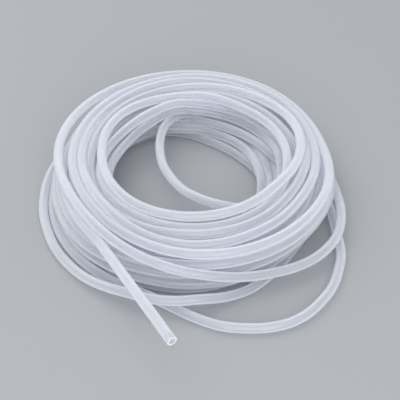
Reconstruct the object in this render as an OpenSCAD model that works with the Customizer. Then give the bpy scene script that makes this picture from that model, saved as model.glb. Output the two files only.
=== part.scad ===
// Loosely wound coil of translucent silicone tubing, lying flat.
// Millimetres, +Z up, origin on the floor at the middle of the footprint.
// The wound turns are one ring-shaped solid that shows its outer turns.
// The loops that stray from it and the straight free end are tubes of their own.

/* [Tube] */
// Outside diameter of the tube
tube_od = 6; // [5:0.5:7]
// Thickness of the tube's wall
tube_wall = 1; // [0.5:0.25:2]

/* [Coil] */
// Diameter of the open middle of the coil
hole_d = 108; // [96:1:120]
// Turns side by side from the hole to the outside
turns_across = 6; // [4:1:7]
// Layers of turns from the floor to the top
turn_layers = 6; // [5:1:7]
// Space between two turns of one layer
turn_gap = 0.4; // [0:0.05:0.8]
// Share of a tube by which one layer sinks between the turns under it
layer_nesting = 0.07; // [0:0.01:0.13]
// Depth of the grooves that part the outer turns
groove_depth = 1.8; // [1:0.1:2.4]
// Place of the coil's axis to the right of the footprint's middle
coil_x = 1.3; // [0:0.1:3]
// Place of the coil's axis behind the footprint's middle
coil_y = 28; // [24:1:32]

/* [Free end] */
// Length of the straight tube that stands free of the coil
free_end_len = 75; // [40:1:100]
// Azimuth at which it leaves the coil, counted from +X
free_end_azimuth = 239.5; // [232:0.5:246]
// Direction in which it points, seen from above
free_end_heading = 301; // [296:1:306]
// Slope of the free end above level
free_end_slope = 2; // [0:0.5:6]
// Height of its middle where it leaves the coil, in tube diameters above the lowest turn
free_end_lift = 3.8; // [3:0.1:4.5]

/* [Loops] */
// Clearance between a loose tube and the coil where they part
part_clearance = 0.4; // [0.3:0.1:1]
// Sides of a loose loop's section
loop_sides = 12; // [8:1:12]

/* [Hidden] */

tube_r = tube_od / 2;
bore_r = tube_r - tube_wall;
hole_r = hole_d / 2;
turn_pitch = tube_od + turn_gap;
layer_pitch = tube_od * (1 - layer_nesting);
first_turn_r = hole_r + tube_r;
last_turn_r = first_turn_r + (turns_across - 1) * turn_pitch;
coil_r = last_turn_r + tube_r;
top_turn_z = tube_r + (turn_layers - 1) * layer_pitch;
milky = [0.80, 0.85, 0.92];
// How far a cut runs past the face that it opens
overrun = 1;
$fn = 96;

// A loose loop's route lists [azimuth about the coil's axis, distance, lift].
// Distance is how far the tube's middle lies outside the coil's wall, or
// inside the hole's wall for the inner loop. Lift is the height above a tube
// that lies on the floor. Both are in tube diameters.
base_route = [
    [169, 0.6, 0], [177, 0.75, 0], [186, 0.9, 0], [195, 1.1, 0], [204, 1.25, 0],
    [213, 1.5, 0], [222, 1.65, 0], [231, 1.8, 0.2], [240, 1.9, 0.6], [249, 2, 1.1],
    [257, 2.1, 1.15], [265, 2, 1.15], [273, 1.7, 1.1], [281, 1.15, 0.4],
    [287, 0.8, 0.1], [291, 0.6, 0]
];
outer_route = [
    [340, 0.6, 0], [335, 1.3, 0], [330, 2.3, 0], [325, 3.2, 0], [320, 3.9, 0],
    [314, 4.75, 0], [308, 5.3, 0], [302, 5.75, 0], [296, 5.85, 0], [290, 5.5, 0],
    [284, 4.9, 0], [278, 4.2, 0], [272, 3.2, 0], [266, 2.2, 0], [259, 1.25, 0],
    [252, 0.7, 0], [247, 0.6, 0]
];
side_route = [
    [351, 0.6, 1.1], [344, 1, 1.1], [337, 1.5, 1.1], [330, 1.85, 1.1], [323, 1.85, 1.1],
    [316, 1.65, 1.1], [309, 1.25, 1.15], [303, 0.85, 1.25], [299, 0.6, 1.35]
];
inner_route = [
    [109.5, 0.45, 2.8], [117, 1.5, 2.5], [126, 2.75, 2.2], [139, 4.25, 2],
    [165, 5.85, 1.9], [210, 6.65, 1.9], [252, 6, 2.1], [276, 4.75, 2.4],
    [291, 3.35, 2.6], [303, 1.85, 2.7], [310, 0.45, 2.8]
];

// Point at azimuth a, radius r from the coil's axis and height z
function at(a, r, z) = [coil_x + r * cos(a), coil_y + r * sin(a), z];

// Routes as points, outside the coil and inside its hole
function outside(route) =
    [for (p = route) at(p[0], coil_r + p[1] * tube_od, tube_r + p[2] * tube_od)];
function inside(route) =
    [for (p = route) at(p[0], hole_r - p[1] * tube_od, tube_r + p[2] * tube_od)];

// Direction of a route at its i-th point
function unit(v) = v / norm(v);
function heading(pts, i) = unit(pts[min(i + 1, len(pts) - 1)] - pts[max(i - 1, 0)]);

// Ring of the tube's surface around the i-th point
function ring(pts, i) =
    let (ahead = heading(pts, i), side = unit(cross(ahead, [0, 0, 1])), up = cross(side, ahead))
    [for (k = [0 : loop_sides - 1])
        let (a = 360 * k / loop_sides)
        pts[i] + tube_r * (cos(a) * side + sin(a) * up)];

// Tube swept along points, closed at both ends
module tube_along(pts) {
    n = loop_sides;
    rings = len(pts);
    corners = [for (i = [0 : rings - 1]) each ring(pts, i)];
    walls = [for (i = [0 : rings - 2], k = [0 : n - 1])
        let (a = i * n + k, b = i * n + (k + 1) % n)
        each [[a, b, b + n], [a, b + n, a + n]]];
    start_cap = [for (k = [n - 1 : -1 : 0]) k];
    end_cap = [for (k = [0 : n - 1]) (rings - 1) * n + k];
    color(milky) polyhedron(corners, concat(walls, [start_cap, end_cap]));
}

// Middle of the turn in a column counted outwards and a layer counted upwards
function turn_at(column, layer) =
    [first_turn_r + column * turn_pitch, tube_r + layer * layer_pitch];

// Section through the wound turns: a filled middle with a row of tubes all round
module bundle_section() {
    last_column = turns_across - 1;
    last_layer = turn_layers - 1;
    skin = tube_r - groove_depth;
    translate([first_turn_r - skin, tube_r - skin])
        square([last_turn_r - first_turn_r + 2 * skin, top_turn_z - tube_r + 2 * skin]);
    for (column = [0 : last_column], layer = [0 : last_layer])
        if (column == 0 || column == last_column || layer == 0 || layer == last_layer)
            translate(turn_at(column, layer)) circle(r = tube_r);
}

module coil() {
    color(milky)
        translate([coil_x, coil_y, 0]) rotate_extrude() bundle_section();
}

// Straight end of the tube with its open bore, leaving the coil's outer wall
module free_end() {
    // Reach of the tube's end face towards the coil's axis
    face_reach = tube_r * abs(sin(free_end_heading - free_end_azimuth));
    start = at(free_end_azimuth, coil_r + part_clearance + face_reach,
               tube_r + free_end_lift * tube_od);
    color(milky) translate(start)
        rotate([0, 90 - free_end_slope, free_end_heading])
            difference() {
                cylinder(r = tube_r, h = free_end_len);
                translate([0, 0, -overrun])
                    cylinder(r = bore_r, h = free_end_len + 2 * overrun);
            }
}

module base_loop() { tube_along(outside(base_route)); }
module outer_loop() { tube_along(outside(outer_route)); }
module side_loop() { tube_along(outside(side_route)); }
module inner_loop() { tube_along(inside(inner_route)); }

coil();
free_end();
base_loop();
outer_loop();
side_loop();
inner_loop();
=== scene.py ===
"""Looks of the silicone tubing coil: one long hollow tube, wound by a settling loop."""
import math

import bpy
import numpy as np
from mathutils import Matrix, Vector


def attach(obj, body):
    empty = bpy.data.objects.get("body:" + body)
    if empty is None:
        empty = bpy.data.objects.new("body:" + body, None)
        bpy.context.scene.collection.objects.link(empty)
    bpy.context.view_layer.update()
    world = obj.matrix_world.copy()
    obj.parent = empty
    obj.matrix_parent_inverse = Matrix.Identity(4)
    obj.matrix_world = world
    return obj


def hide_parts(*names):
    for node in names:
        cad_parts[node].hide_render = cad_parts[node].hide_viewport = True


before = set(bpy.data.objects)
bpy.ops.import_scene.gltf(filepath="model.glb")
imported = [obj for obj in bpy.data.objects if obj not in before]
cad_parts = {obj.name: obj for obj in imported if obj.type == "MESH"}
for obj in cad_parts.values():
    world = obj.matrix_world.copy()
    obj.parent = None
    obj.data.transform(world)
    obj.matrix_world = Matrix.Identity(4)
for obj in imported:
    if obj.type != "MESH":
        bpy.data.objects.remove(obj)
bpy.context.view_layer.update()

MM = 0.001
TUBE_D = 6.0                    # outside diameter, mm
BORE_D = 4.0                    # bore, mm
COIL_AXIS = (1.3, 28.0)         # mm, as the CAD coil's axis
COIL_R = 92.0                   # outer wall of the CAD coil, mm
HOLE_R = 54.0                   # wall of the CAD coil's hole, mm
STATIONS = 144                  # stations in a turn
FLOOR_Z = TUBE_D / 2            # middle of a tube that lies on the floor, mm

# The mesh of the tube: mm between two rings, and sides of the wall and the bore.
RING_SPACING = 5.0
OUTER_SIDES = 16
BORE_SIDES = 10

# The free end leaves the coil at this azimuth, distance and height, and points
# along this heading, as in the CAD. Its stations are mm along it, tip first.
LEAVES_AT = math.radians(239.5)
LEAVES_R = 95.036
LEAVES_Z = 25.8
HEADING = math.radians(301)
SLOPE = math.radians(2)
FREE_STATIONS = (75, 62, 50, 38, 27, 17, 8, 0, -8, -15)

# Azimuths of the keys of a round turn, and where and how widely a turn is pressed in.
ROUND_AZIMUTHS = range(330, -1, -30)
PRESSED_AT = 165
PRESSED_WIDTH = 30

# Wandering of the wound turns: size in mm, stations between two draws and seed.
WANDER = 0.5
WANDER_PERIOD = 40
WANDER_SEED = 7
SPREAD = 1.6                    # makes up for what the smoothing of the draws takes away

# Settling of the coil, in shares and mm per round unless a line says otherwise.
ROUNDS = 900
PULL_R = 0.02                   # pull towards the keys, level and upright
PULL_Z = 0.012
SINK = 0.03
PUSH = 0.9                      # how much of an overlap is taken away
CROWDING = -0.6                 # power by which a stretch with more touches moves less
SMOOTHING = 0.06
STIFFNESS = 0.05
CALM_AFTER = 0.7                # share of the rounds after which the pull is eased
CALM = 0.3
HELD_EASE = 8                   # stations from a held pass over which the tube gets free
SEARCH_EVERY = 10               # rounds between two searches for neighbours
NEAR = 1.9                      # tube diameters within which turns are neighbours
TINY = 1e-6                     # keeps divisions and roots away from zero
FAR_R = 1e6                     # where the stations lie that fill up the last turn
FAR_Z_STEP = 1e3

# Routes of the loops that stray from the coil, as in the CAD: azimuth, distance
# from the coil's wall and lift, the last two in tube diameters.
BASE_ROUTE = [
    (169, 0.6, 0), (177, 0.75, 0), (186, 0.9, 0), (195, 1.1, 0), (204, 1.25, 0),
    (213, 1.5, 0), (222, 1.65, 0), (231, 1.8, 0.2), (240, 1.9, 0.6), (249, 2, 1.1),
    (257, 2.1, 1.15), (265, 2, 1.15), (273, 1.7, 1.1), (281, 1.15, 0.4),
    (287, 0.8, 0.1), (291, 0.6, 0)]
OUTER_ROUTE = [
    (340, 0.6, 0), (335, 1.3, 0), (330, 2.3, 0), (325, 3.2, 0), (320, 3.9, 0),
    (314, 4.75, 0), (308, 5.3, 0), (302, 5.75, 0), (296, 5.85, 0), (290, 5.5, 0),
    (284, 4.9, 0), (278, 4.2, 0), (272, 3.2, 0), (266, 2.2, 0), (259, 1.25, 0),
    (252, 0.7, 0), (247, 0.6, 0)]
SIDE_ROUTE = [
    (351, 0.6, 1.1), (344, 1, 1.1), (337, 1.5, 1.1), (330, 1.85, 1.1), (323, 1.85, 1.1),
    (316, 1.65, 1.1), (309, 1.25, 1.15), (303, 0.85, 1.25), (299, 0.6, 1.35)]
INNER_ROUTE = [
    (310, 0.45, 2.8), (303, 1.85, 2.7), (291, 3.35, 2.6), (276, 4.75, 2.4), (252, 6, 2.1),
    (210, 6.65, 1.9), (165, 5.85, 1.9), (139, 4.25, 2), (126, 2.75, 2.2), (117, 1.5, 2.5),
    (109.5, 0.45, 2.8)]


def outside(route):
    """Keys of a route that runs outside the coil."""
    return [(a, COIL_R + d * TUBE_D, FLOOR_Z + lift * TUBE_D) for a, d, lift in route]


def inside(route):
    """Keys of a route that runs inside the coil's hole."""
    return [(a, HOLE_R - d * TUBE_D, FLOOR_Z + lift * TUBE_D) for a, d, lift in route]


def free_end():
    """The straight end, from its tip to where the coil takes it in."""
    x, y = LEAVES_R * math.cos(LEAVES_AT), LEAVES_R * math.sin(LEAVES_AT)
    points = []
    for s in FREE_STATIONS:
        px = x + s * math.cos(SLOPE) * math.cos(HEADING)
        py = y + s * math.cos(SLOPE) * math.sin(HEADING)
        points.append((math.degrees(math.atan2(py, px)) % 360, math.hypot(px, py),
                       LEAVES_Z + s * math.sin(SLOPE)))
    return points


def circle(radius, z, shift=(0, 0), gain=0.0):
    """A clockwise turn about a shifted middle, whose radius gains steadily."""
    keys = []
    for i, azimuth in enumerate(ROUND_AZIMUTHS):
        t = math.radians(azimuth)
        across = shift[0] * math.sin(t) - shift[1] * math.cos(t)
        along = shift[0] * math.cos(t) + shift[1] * math.sin(t)
        r = along + math.sqrt(radius * radius - across * across)
        keys.append((azimuth, r + gain * i / len(ROUND_AZIMUTHS), z))
    return keys


def pressed(keys, depth):
    """The same turn, pressed in by depth on the side where the rim stands off the coil."""
    return [(a, r - depth * math.exp(-((a - PRESSED_AT) / PRESSED_WIDTH)**2), z)
            for a, r, z in keys]


# Passes of the tube in the order in which it runs, from the free end's tip to the
# hidden end on the floor, always clockwise seen from above. Keys are azimuth in
# degrees, and distance from the coil's axis and height in mm. A held pass keeps its
# keys. The keys of a wound one are where it starts before the coil settles.
PASSES = [
    ("held", free_end()),
    ("wound", [
        (217, 85, 25.2), (205, 84.5, 25.2), (190, 83.5, 25.5), (175, 81, 25.5),
        (160, 79.5, 25.3), (150, 79.5, 25), (135, 82, 23.8), (120, 86, 22.5), (90, 88, 20.5),
        (60, 88, 20.2), (30, 87.5, 20.2), (0, 88, 20.5), (330, 89, 22), (300, 88.5, 24),
        (270, 87.5, 25), (255, 86, 23.5), (240, 84, 21), (225, 83.5, 19.8), (200, 85, 19.5),
        (180, 84, 19.5), (160, 82, 19), (150, 82.5, 18), (135, 85, 17), (120, 87.5, 15.5),
        (90, 88.5, 14.5), (60, 88, 14.5), (30, 88.3, 14.5), (0, 89.8, 14.8), (330, 87, 16),
        (315, 86.6, 17.2), (300, 86.8, 18.5), (270, 88, 19.5), (240, 86.5, 15.5),
        (210, 87, 14), (180, 86, 14), (160, 85, 13), (150, 85.5, 12.5), (135, 87, 11),
        (120, 88.5, 10), (90, 89, 9), (60, 88.5, 9), (30, 88.5, 9.2), (5, 89, 9.5),
        (351, 92.6, 9.6)]),
    ("held", outside(SIDE_ROUTE)[1:]),
    ("wound", [
        (292, 94.5, 14), (285, 94, 18), (277, 93.5, 22.8), (270, 93, 25.4),
        (262, 92.5, 28.9), (255, 91.5, 30.7), (247, 89.5, 31.7), (240, 87, 32.2),
        (227, 83, 33), (212, 81.5, 33.5), (198, 82.5, 33.5), (185, 85.5, 33),
        (175, 87.3, 33), (165, 88.8, 32.5), (155, 90.4, 31.5), (147, 91.9, 30.7),
        (138, 93, 30), (128, 94, 29.3), (118, 94.8, 28.8), (104, 95.2, 27.8), (90, 95.2, 27.2),
        (70, 93.8, 27), (56, 91.8, 27.2), (46, 89.7, 27.6), (36, 87.2, 28), (25, 84.8, 28.3),
        (15, 83, 28.6), (5, 84, 29), (356, 87.3, 29.5), (345, 89, 30), (330, 88.3, 30.5),
        (315, 88, 31), (300, 88, 31)]),
    ("wound", [
        (285, 86.8, 31), (270, 85.9, 31), (255, 82.5, 31.5), (240, 79.5, 32), (225, 76, 32),
        (210, 75, 32), (195, 76, 32), (180, 77.6, 32), (165, 77.6, 32), (150, 78.5, 31.5),
        (135, 81, 31), (120, 84, 31), (90, 87.5, 31), (60, 86.5, 31), (30, 81.5, 31),
        (8, 79.5, 31.5), (0, 79.5, 31.5), (348, 80, 31.5), (339, 78.5, 31.5), (331, 77.3, 31.5),
        (322, 77.5, 31.5), (315, 78.5, 31.5), (306, 79, 31.5)]),
    ("wound", [
        (285, 79.4, 31.5), (275, 80, 31.5), (267, 79.3, 31.5), (255, 78.3, 31.5),
        (240, 74, 31.5), (225, 70.5, 32), (210, 69.3, 32), (195, 70, 32), (180, 72, 32),
        (165, 72, 32), (150, 72.5, 31.5), (135, 75, 31), (120, 78.5, 31), (90, 81, 31),
        (60, 80.5, 30.5), (30, 77.3, 30), (15, 75.5, 30), (0, 73.5, 30), (345, 71, 30),
        (330, 69, 30.5), (315, 69, 31), (300, 69.5, 31.5)]),
    ("wound", [
        (285, 70, 32), (275, 69.5, 32), (267, 69, 32), (255, 68.5, 31), (240, 68.5, 29.5),
        (225, 66.5, 27), (210, 65, 26.5), (195, 65.5, 27), (180, 66, 28), (165, 67, 28),
        (150, 68.5, 28), (135, 70, 30), (120, 71, 31.5), (105, 71, 33), (90, 71, 34.5),
        (70, 71.3, 36), (51, 71.6, 36.3), (37, 73.3, 36.5), (25, 74.3, 36.5), (13, 73.1, 36.3),
        (0, 70.5, 36), (348, 66.5, 35.5), (336, 63.3, 35), (325, 61, 34.5), (314, 59.6, 34),
        (303, 58.6, 33.3), (281, 57.4, 32.7), (269, 57.4, 32.7), (251, 57.4, 32.7),
        (233, 58.3, 32.7), (216, 58.5, 32.7), (200, 58.2, 32.7), (188, 57.8, 32.7),
        (178, 58, 32.7), (165, 60, 32.7), (155, 63.3, 32.7), (141, 65, 32.7),
        (124, 63.8, 32.7), (108, 61.9, 32.5), (92, 60, 32.5), (75, 58.5, 32.5), (56, 58.2, 32),
        (39, 59.7, 32), (19, 60.7, 31.5)]),
    ("wound", [
        (0, 61.5, 31), (345, 62.5, 30.5), (330, 64.5, 31), (315, 65.7, 30.5), (303, 65.9, 29.3),
        (285, 64.5, 29), (275, 64, 29), (262, 63.7, 29.3), (250, 63, 30.3), (240, 62.5, 31),
        (225, 61.8, 30.5), (210, 61.6, 30.5), (195, 62, 29), (183, 61.5, 27.5),
        (175, 60, 27), (165, 57, 27), (155, 54.8, 28.3), (145, 53.8, 29.3), (130, 53.8, 30.2),
        (118, 54, 31.2), (105, 54.8, 31.2), (90, 56.3, 30.2), (75, 58.5, 28), (60, 60.5, 26),
        (45, 61.5, 26), (30, 62, 26), (15, 63.5, 26)]),
    ("wound", [
        (0, 65, 25.3), (330, 66, 25.3), (300, 66.3, 25.3), (270, 66.3, 25.3), (240, 66, 25.3),
        (210, 64.5, 25.3), (195, 63.3, 25.3), (180, 62.5, 25.3), (165, 62.3, 25.3),
        (150, 62.8, 25.3), (135, 64.5, 25.5), (120, 66, 26.5), (105, 66.5, 29), (95, 66.5, 31),
        (80, 66, 32.8), (60, 65.3, 33), (45, 65.4, 32.7), (30, 65.8, 32), (20, 65.9, 31),
        (10, 66.2, 29.5)]),
    ("wound", [(0, 67.5, 28), (345, 69.5, 26.5)]
     + pressed(circle(72, 25.3, gain=5.5), 6)),
    ("wound", pressed(circle(78, 25.3, gain=2), 5)),
    ("wound", pressed(circle(83, 19.7, gain=-1), 4)),
    ("wound", pressed(circle(77, 19.7, gain=-1), 4)),
    ("wound", pressed(circle(71, 19.7, gain=-1), 4)),
    ("wound", pressed(circle(65, 19.7, gain=-1), 4)),
    ("wound", [
        (330, 60, 21), (300, 58, 23), (270, 58, 23.5), (240, 58, 23.5), (210, 57.3, 23),
        (190, 55.3, 22.5), (178, 53, 22.5), (155, 49.2, 22.5), (140, 49.5, 23.5),
        (124, 50.8, 24), (102, 55.2, 24), (85, 57.5, 24), (69, 59.2, 22.5), (50, 60, 20.5),
        (28, 59.5, 18.5), (9, 59.3, 17.4), (355, 58.6, 17.2)]),
    ("held", [(345, 58.3, 17.2), (337.3, 58.5, 17.4), (330, 57.9, 17.8), (324, 56.3, 18.2),
              (318, 53.8, 18.7), (312, 50.3, 19), (306.5, 46.2, 19.2)]
     + inside(INNER_ROUTE)[1:-1]
     + [(110.7, 50, 18.6), (104.6, 53.9, 18.8), (98.3, 56.9, 18.6), (91.8, 58.9, 18.1),
        (85.4, 60, 17.3)]),
    ("wound", [(77, 60.4, 16), (60, 60.5, 13.5), (45, 60.5, 11.5), (20, 58.5, 9.8)]),
    ("wound", [
        (0, 57, 9.8), (330, 57.5, 11.5), (300, 58, 14), (270, 58.5, 15), (240, 59, 14.5),
        (210, 59, 14.2), (180, 58.5, 14.2), (150, 59, 13.8), (120, 60, 13.6), (90, 57.5, 13.6),
        (60, 54.5, 13.7), (45, 54, 13.8), (30, 55.5, 14.5), (15, 59, 14.8), (0, 62, 14.5)]),
    ("wound", pressed(circle(65, 14.2, (-3, -3), 6), 3)),
    ("wound", pressed(circle(72, 14.2, (-3, -3), 6), 3)),
    ("wound", pressed(circle(79, 14.2, (-3, -3), 3), 3)),
    ("wound", [
        (330, 83.5, 8.6), (300, 87.5, 8.6), (275, 89.5, 8.6), (250, 89.8, 8.6), (225, 89, 8.6),
        (210, 88, 8.6), (180, 85.5, 8.6), (150, 83, 8.6), (120, 80, 8.6), (90, 77, 8.6),
        (60, 74, 8.6), (30, 73, 8.6), (0, 73.5, 8.6)]),
    ("wound", [
        (330, 73, 8.6), (300, 77, 8.6), (270, 79.5, 8.6), (240, 81, 8.6), (210, 81, 8.6),
        (180, 79.5, 8.6), (150, 77, 8.6), (120, 74.5, 8.6), (90, 70.5, 8.6), (60, 67.5, 8.6),
        (30, 65.5, 8.6), (0, 65, 8.6)]),
    ("wound", [
        (330, 67, 8.6), (300, 70.5, 8.6), (270, 73, 8.6), (240, 74.5, 8.6), (210, 74.5, 8.6),
        (180, 73, 8.6), (150, 71.3, 8.6), (120, 69.5, 8.6), (90, 65, 8.6), (60, 61.5, 8.6),
        (30, 59.5, 8.6), (0, 58.8, 8.6)]),
    ("wound", [
        (330, 60.8, 8.6), (300, 64, 8.6), (270, 66.5, 8.6), (240, 67.8, 8.6), (210, 67.5, 8.6),
        (180, 66.5, 8.6), (150, 66.5, 8.6), (120, 65.5, 8.6), (90, 60, 8.6), (60, 55.5, 8.6),
        (30, 52.8, 8.6), (0, 52.2, 8.6)]),
    ("wound", [
        (330, 55.3, 8.6), (300, 58.8, 8.6), (270, 61.3, 8.6), (240, 62.3, 8.6), (210, 61.8, 8.6),
        (180, 61, 8.6), (150, 62, 8.6), (120, 61, 8.6), (100, 58, 8.6), (80, 53, 8.6),
        (60, 50, 8.6), (30, 48.6, 8.6), (0, 50, 8.6)]),
    ("wound", [
        (330, 50, 4), (300, 55, 3), (270, 59, 3), (240, 61, 3), (210, 63.5, 3), (180, 65, 3),
        (165, 66, 3), (150, 66.8, 3), (134, 66.8, 3), (126, 65, 3), (119, 62.8, 3),
        (110, 60, 3), (98, 56, 3.5), (91, 53.5, 4), (84, 50.7, 4), (78, 48.3, 3.5),
        (67, 45.4, 3), (59, 44.4, 3), (48, 43.7, 3), (36, 44, 3), (26, 45.3, 3), (11, 48, 3),
        (0, 49.5, 3)]),
    ("wound", [
        (330, 53, 3), (300, 60, 3), (270, 67, 3), (240, 69, 3), (210, 70, 3), (180, 71, 3),
        (150, 72.5, 3), (120, 68.4, 3), (90, 60.5, 3), (60, 52.5, 3), (30, 51.7, 3),
        (0, 55.5, 3)]),
    ("wound", [
        (345, 58, 3), (330, 62.5, 3), (300, 71, 3), (270, 77.5, 3), (240, 78, 3),
        (210, 77, 3), (180, 75.5, 3), (150, 77, 3), (120, 73.5, 3), (90, 66.5, 3),
        (60, 61, 3), (30, 60, 3), (0, 63, 3)]),
    ("wound", [
        (330, 72, 3), (300, 82, 3), (275, 89, 3), (250, 89.5, 3), (225, 87.5, 3), (210, 86, 3),
        (180, 83, 3), (150, 81.5, 3), (120, 78.5, 3), (90, 74, 3), (60, 71, 3), (30, 72, 3),
        (0, 78, 3), (350, 84, 3)]),
    ("held", outside(OUTER_ROUTE)),
    ("wound", [
        (240, 94.8, 3), (225, 94.3, 3), (210, 93.8, 3), (195, 92.2, 3), (180, 90.3, 3),
        (165, 88.7, 3), (150, 87.5, 3), (120, 84.8, 3), (90, 81, 3), (60, 78.5, 3),
        (30, 79.5, 3), (0, 84.3, 3), (345, 86, 3), (335, 83.8, 3), (325, 82, 3),
        (319, 81.6, 3), (314, 83, 3), (309, 85.8, 3), (303, 89.8, 3)]),
    ("held", outside(BASE_ROUTE)[::-1]),
    ("wound", [(160, 93, 3), (150, 91, 3), (135, 88.5, 3), (120, 86.5, 3), (105, 85, 3),
               (95, 84, 3)]),
]


def unrolled(passes):
    """Keys against the whole angle that the tube has swept, and which are held."""
    turn, last, keys, held = 0, math.inf, [], []
    for kind, points in passes:
        for azimuth, r, z in points:
            if azimuth > last:
                turn += 1
            last = azimuth
            keys.append((360 * turn + 360 - azimuth, r, z))
            held.append(kind == "held")
    return np.array(keys), np.array(held)


def smooth_curve(x, xk, yk):
    """Hermite curve through the keys, with slopes weighted by their spacing."""
    h = np.diff(xk)
    slope = np.diff(yk) / h
    m = np.concatenate([slope[:1], (slope[:-1] * h[1:] + slope[1:] * h[:-1])
                        / (h[1:] + h[:-1]), slope[-1:]])
    i = np.clip(np.searchsorted(xk, x) - 1, 0, len(xk) - 2)
    t = (x - xk[i]) / h[i]
    return ((2 * t**3 - 3 * t**2 + 1) * yk[i] + (t**3 - 2 * t**2 + t) * h[i] * m[i]
            + (3 * t**2 - 2 * t**3) * yk[i + 1] + (t**3 - t**2) * h[i] * m[i + 1])


def wander(rng, count, period):
    """Smooth random line, with one new draw for each period of stations."""
    knots = rng.normal(size=int(count / period) + 4)
    x = np.arange(count) / period
    i = x.astype(int)
    t = x - i
    return SPREAD * ((1 - t)**3 / 6 * knots[i] + (3 * t**3 - 6 * t**2 + 4) / 6 * knots[i + 1]
                     + (3 * t + 3 * t**2 - 3 * t**3 + 1) / 6 * knots[i + 2]
                     + t**3 / 6 * knots[i + 3])


def second_difference(v):
    """Sum of the steps from each value to its two neighbours. The ends stay zero."""
    out = np.zeros_like(v)
    out[1:-1] = v[:-2] + v[2:] - 2 * v[1:-1]
    return out


def settle(r, z, held):
    """Parts the turns where they touch, lets them sink and keeps their curves even.
    Station i of each turn is at the same azimuth, so only those are compared."""
    count = len(r)
    turns = -(-count // STATIONS)
    pad = turns * STATIONS - count
    step = 2 * math.pi / STATIONS
    gap = np.abs(np.arange(count)[:, None] - np.flatnonzero(held)[None, :]).min(axis=1)
    free = np.clip(gap / HELD_EASE, 0, 1)
    weight = np.concatenate([free, np.zeros(pad)])
    upper, lower = np.triu_indices(turns, 1)
    r_aim, z_aim = r.copy(), z.copy()
    for n in range(ROUNDS):
        calm = 1.0 if n < ROUNDS * CALM_AFTER else CALM
        slope_r = np.concatenate([np.gradient(r) / (r * step), np.zeros(pad)])
        slope_z = np.concatenate([np.gradient(z) / (r * step), np.zeros(pad)])
        rr = np.concatenate([r, np.full(pad, FAR_R)])
        zz = np.concatenate([z, np.arange(pad) * FAR_Z_STEP])
        if n % SEARCH_EVERY == 0:
            grid_r, grid_z = rr.reshape(turns, -1), zz.reshape(turns, -1)
            apart = (grid_r[upper] - grid_r[lower])**2 + (grid_z[upper] - grid_z[lower])**2
            pair, station = np.nonzero(apart < (NEAR * TUBE_D)**2)
            a, b = upper[pair] * STATIONS + station, lower[pair] * STATIONS + station
        dr, dz = rr[a] - rr[b], zz[a] - zz[b]
        tr, tz = (slope_r[a] + slope_r[b]) / 2, (slope_z[a] + slope_z[b]) / 2
        skew = (dr * tr + dz * tz)**2 / (1 + tr * tr + tz * tz)
        length = np.sqrt(dr * dr + dz * dz) + TINY
        depth = TUBE_D - np.sqrt(np.maximum(dr * dr + dz * dz - skew, TINY))
        share = weight[a] + weight[b]
        push = np.where((depth > 0) & (share > 0), PUSH * depth / np.maximum(share, 1), 0)
        touching = (push > 0).astype(float)
        size = len(rr)
        touches = (np.bincount(a, weights=touching, minlength=size)
                   + np.bincount(b, weights=touching, minlength=size))
        ease = np.maximum(touches, 1)**CROWDING
        for line, part in ((r, dr), (z, dz)):
            move = push * part / length
            moved = (np.bincount(a, weights=move * weight[a], minlength=size)
                     - np.bincount(b, weights=move * weight[b], minlength=size))
            line += (moved * ease)[:count]
        r += free * PULL_R * calm * (r_aim - r)
        z += free * calm * (PULL_Z * (z_aim - z) - SINK)
        for _ in range(2):
            for line in (r, z):
                bend = second_difference(line)
                line += free * (SMOOTHING * bend - STIFFNESS * second_difference(bend))
        z[:] = np.where(held, z, np.maximum(z, FLOOR_Z))
    return r, z


def wound_path():
    """Middle of the tube in mm, with the tip first and then a point for each station."""
    keys, key_held = unrolled(PASSES)
    step = 360 / STATIONS
    index = np.arange(math.ceil(keys[0, 0] / step), math.floor(keys[-1, 0] / step) + 1)
    swept = index * step
    r = smooth_curve(swept, keys[:, 0], keys[:, 1])
    z = smooth_curve(swept, keys[:, 0], keys[:, 2])
    span = np.clip(np.searchsorted(keys[:, 0], swept) - 1, 0, len(keys) - 2)
    held = key_held[span] & key_held[span + 1]
    rng = np.random.default_rng(WANDER_SEED)
    r += np.where(held, 0, WANDER * wander(rng, len(r), WANDER_PERIOD))
    z += np.where(held, 0, WANDER * wander(rng, len(r), WANDER_PERIOD))
    r, z = settle(r, z, held)
    swept, r, z = (np.concatenate([[tip], line]) for tip, line in zip(keys[0], (swept, r, z)))
    angle = -np.radians(swept)
    return np.stack([COIL_AXIS[0] + r * np.cos(angle), COIL_AXIS[1] + r * np.sin(angle), z], 1)


def evenly(points, spacing):
    """The same line with its points the same distance apart, and its length."""
    steps = np.linalg.norm(np.diff(points, axis=0), axis=1)
    along = np.concatenate([[0], np.cumsum(steps)])
    at = np.linspace(0, along[-1], round(along[-1] / spacing) + 1)
    return np.stack([smooth_curve(at, along, points[:, k]) for k in range(3)], 1), along[-1]


WALL, BORE, CUT = range(3)      # material indices


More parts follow.
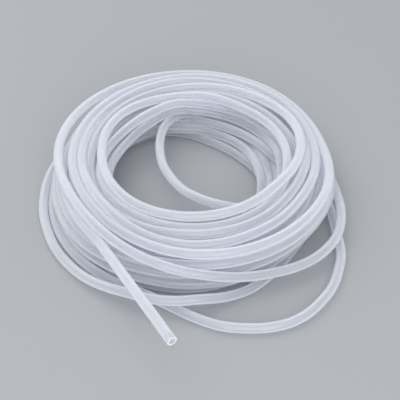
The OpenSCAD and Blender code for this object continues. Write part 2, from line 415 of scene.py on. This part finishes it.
def tube_mesh(name, centres):
    """Hollow tube with its bore, closed at both ends by the cut face of the wall."""
    ahead = np.gradient(centres, axis=0)
    ahead /= np.linalg.norm(ahead, axis=1)[:, None]
    side = np.cross(ahead, (0, 0, 1))
    side /= np.linalg.norm(side, axis=1)[:, None]
    up = np.cross(side, ahead)
    vertices, faces, parts, first = [], [], [], 0
    rings = len(centres)
    starts = []
    for part, diameter, sides in ((WALL, TUBE_D, OUTER_SIDES), (BORE, BORE_D, BORE_SIDES)):
        turn = 2 * math.pi * np.arange(sides) / sides
        ring = (np.cos(turn)[None, :, None] * side[:, None, :]
                + np.sin(turn)[None, :, None] * up[:, None, :]) * diameter / 2
        vertices.append((centres[:, None, :] + ring).reshape(-1, 3))
        i, k = np.meshgrid(np.arange(rings - 1), np.arange(sides), indexing="ij")
        p, q = first + i * sides + k, first + i * sides + (k + 1) % sides
        quad = np.stack([p, q, q + sides, p + sides], -1).reshape(-1, 4)
        faces += (quad if part == WALL else quad[:, ::-1]).tolist()
        parts += [part] * len(quad)
        starts.append(first)
        first += rings * sides
    for end in (0, rings - 1):
        outer = [starts[WALL] + end * OUTER_SIDES + k for k in range(OUTER_SIDES)]
        bore = [starts[BORE] + end * BORE_SIDES + k for k in range(BORE_SIDES)]
        for face in annulus(outer, bore):
            faces.append(face if end == 0 else face[::-1])
            parts.append(CUT)
    mesh = bpy.data.meshes.new(name)
    mesh.from_pydata((np.concatenate(vertices) * MM).tolist(), [], faces)
    mesh.polygons.foreach_set("use_smooth", [part != CUT for part in parts])
    mesh.polygons.foreach_set("material_index", parts)
    mesh.update()
    obj = bpy.data.objects.new(name, mesh)
    bpy.context.scene.collection.objects.link(obj)
    return obj


def annulus(outer, bore):
    """Triangles between two rings of corners with different counts."""
    out, i, k, n, m = [], 0, 0, len(outer), len(bore)
    while i < n or k < m:
        if k >= m or (i < n and (i + 1) * m <= (k + 1) * n):
            out.append([outer[(i + 1) % n], outer[i % n], bore[k % m]])
            i += 1
        else:
            out.append([bore[k % m], bore[(k + 1) % m], outer[i % n]])
            k += 1
    return out


class Shaders:
    """Short way to put a material's shaders together."""

    def __init__(self, name):
        self.material = bpy.data.materials.new(name)
        self.material.use_nodes = True
        self.nodes = self.material.node_tree.nodes
        self.links = self.material.node_tree.links
        self.nodes.clear()

    def add(self, kind, **values):
        node = self.nodes.new("ShaderNode" + kind)
        for name, value in values.items():
            self.feed(node.inputs[name.replace("_", " ")], value)
        return node.outputs[0]

    def feed(self, socket, value):
        if isinstance(value, bpy.types.NodeSocket):
            self.links.new(value, socket)
        else:
            socket.default_value = value

    def mix(self, share, one, two):
        node = self.nodes.new("ShaderNodeMixShader")
        for socket, value in zip(node.inputs, (share, one, two)):
            self.feed(socket, value)
        return node.outputs[0]

    def done(self, shader):
        output = self.nodes.new("ShaderNodeOutputMaterial")
        self.links.new(shader, output.inputs["Surface"])
        return self.material


MILKY = (0.95, 0.966, 1.0, 1)
# The bore's wall is the same silicone as the outside; its colour is painted a little darker as
# shade inside the tube.
BORE_MILKY_PAINTED_SHADE = (0.92, 0.938, 0.985, 1)
CLEAR = (0.955, 0.967, 0.995, 1)
UNTINTED = (1, 1, 1, 1)

# Share of the wall that lets the view through, in the middle of the tube and at its
# edges, and the Layer Weight blend and range over which the one becomes the other.
THROUGH_MIDDLE = 0.58
THROUGH_EDGE = 0.14
EDGE_BLEND = 0.5
EDGE_RANGE = (0.15, 0.42)

MILK_TRANSLUCENT = 0.5          # share of the milk that passes light on
GLOSS = 0.06                    # share of the gloss over it
GLOSS_ROUGHNESS = 0.22
BORE_THROUGH = 0.7              # share of the bore's wall that lets the view through
CUT_TRANSLUCENT = 0.4           # share of the cut face that passes light on


def wall_material():
    """Outside of the tube: milky where the wall is seen along its thickness at the
    tube's edges, see-through in the middle, with a soft gloss."""
    s = Shaders("milky_silicone")
    edge = s.nodes.new("ShaderNodeLayerWeight")
    edge.inputs["Blend"].default_value = EDGE_BLEND
    through = s.nodes.new("ShaderNodeMapRange")
    through.interpolation_type = "SMOOTHSTEP"
    for name, value in (("From Min", EDGE_RANGE[0]), ("From Max", EDGE_RANGE[1]),
                        ("To Min", THROUGH_MIDDLE), ("To Max", THROUGH_EDGE)):
        through.inputs[name].default_value = value
    s.links.new(edge.outputs["Facing"], through.inputs["Value"])
    milk = s.mix(MILK_TRANSLUCENT, s.add("BsdfDiffuse", Color=MILKY),
                 s.add("BsdfTranslucent", Color=MILKY))
    milk = s.mix(through.outputs["Result"], milk, s.add("BsdfTransparent", Color=CLEAR))
    return s.done(s.mix(GLOSS, milk, s.add("BsdfGlossy", Roughness=GLOSS_ROUGHNESS)))


def bore_material():
    """Wall of the bore, its milky colour painted a little darker than the outside as shade
    inside the tube.
    """
    s = Shaders("milky_bore")
    return s.done(s.mix(BORE_THROUGH, s.add("BsdfTranslucent", Color=BORE_MILKY_PAINTED_SHADE),
                        s.add("BsdfTransparent", Color=UNTINTED)))


def cut_material():
    """Cut face of the wall at either end, which lets no view through."""
    s = Shaders("cut_face")
    return s.done(s.mix(CUT_TRANSLUCENT, s.add("BsdfDiffuse", Color=MILKY),
                        s.add("BsdfTranslucent", Color=MILKY)))


WORLD_COLOUR = (0.92, 0.93, 0.95, 1)
WORLD_STRENGTH = 0.86
FLOOR_SIZE = 6                  # metres
FLOOR_COLOUR = (0.375, 0.385, 0.4, 1)
FLOOR_ROUGHNESS = 0.7
# Each soft lamp's name, place and width in metres, and power in watts.
LAMPS = (("key", (-0.45, 0.4, 0.9), 1.0, 3.7), ("fill", (0.1, -0.95, 0.55), 0.9, 5.3))
LAMPS_FACE = Vector((0, 0.02, 0))

# The camera looks at a point on the floor, from its tilt and distance in metres.
LENS = 81                       # focal length and sensor width, mm
SENSOR = 36
LOOK_AT = Vector((0.0063, 0.018, 0))
TILT = math.radians(44)
DISTANCE = 0.590


def turned_to(place, target):
    """Rotation that points a lamp or camera from place to target."""
    return (target - Vector(place)).to_track_quat("-Z", "Y").to_euler()


def floor_and_light():
    """Pale floor, even world light and two soft lamps."""
    world = bpy.data.worlds.new("studio")
    world.use_nodes = True
    background = world.node_tree.nodes["Background"]
    background.inputs["Color"].default_value = WORLD_COLOUR
    background.inputs["Strength"].default_value = WORLD_STRENGTH
    bpy.context.scene.world = world
    bpy.ops.mesh.primitive_plane_add(size=FLOOR_SIZE)
    floor = bpy.context.object
    floor.name = "floor"
    paint = bpy.data.materials.new("floor")
    paint.use_nodes = True
    shader = paint.node_tree.nodes["Principled BSDF"]
    shader.inputs["Base Color"].default_value = FLOOR_COLOUR
    shader.inputs["Roughness"].default_value = FLOOR_ROUGHNESS
    floor.data.materials.append(paint)
    for name, place, size, power in LAMPS:
        lamp = bpy.data.lights.new(name, "AREA")
        lamp.energy, lamp.size = power, size
        obj = bpy.data.objects.new(name, lamp)
        obj.location = place
        obj.rotation_euler = turned_to(place, LAMPS_FACE)
        bpy.context.scene.collection.objects.link(obj)


def camera():
    """Camera at the place from which the photograph was taken."""
    lens = bpy.data.cameras.new("camera")
    lens.lens, lens.sensor_width = LENS, SENSOR
    obj = bpy.data.objects.new("camera", lens)
    obj.location = LOOK_AT + Vector((0, -math.cos(TILT), math.sin(TILT))) * DISTANCE
    obj.rotation_euler = turned_to(obj.location, LOOK_AT)
    bpy.context.scene.collection.objects.link(obj)
    bpy.context.scene.camera = obj


centres, tube_length = evenly(wound_path(), RING_SPACING)
tube = tube_mesh("tube", centres)
for material in (wall_material(), bore_material(), cut_material()):
    tube.data.materials.append(material)
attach(tube, "root")
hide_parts("coil", "free_end", "base_loop", "outer_loop", "side_loop", "inner_loop")
floor_and_light()
camera()
bpy.context.scene.view_settings.view_transform = "Standard"
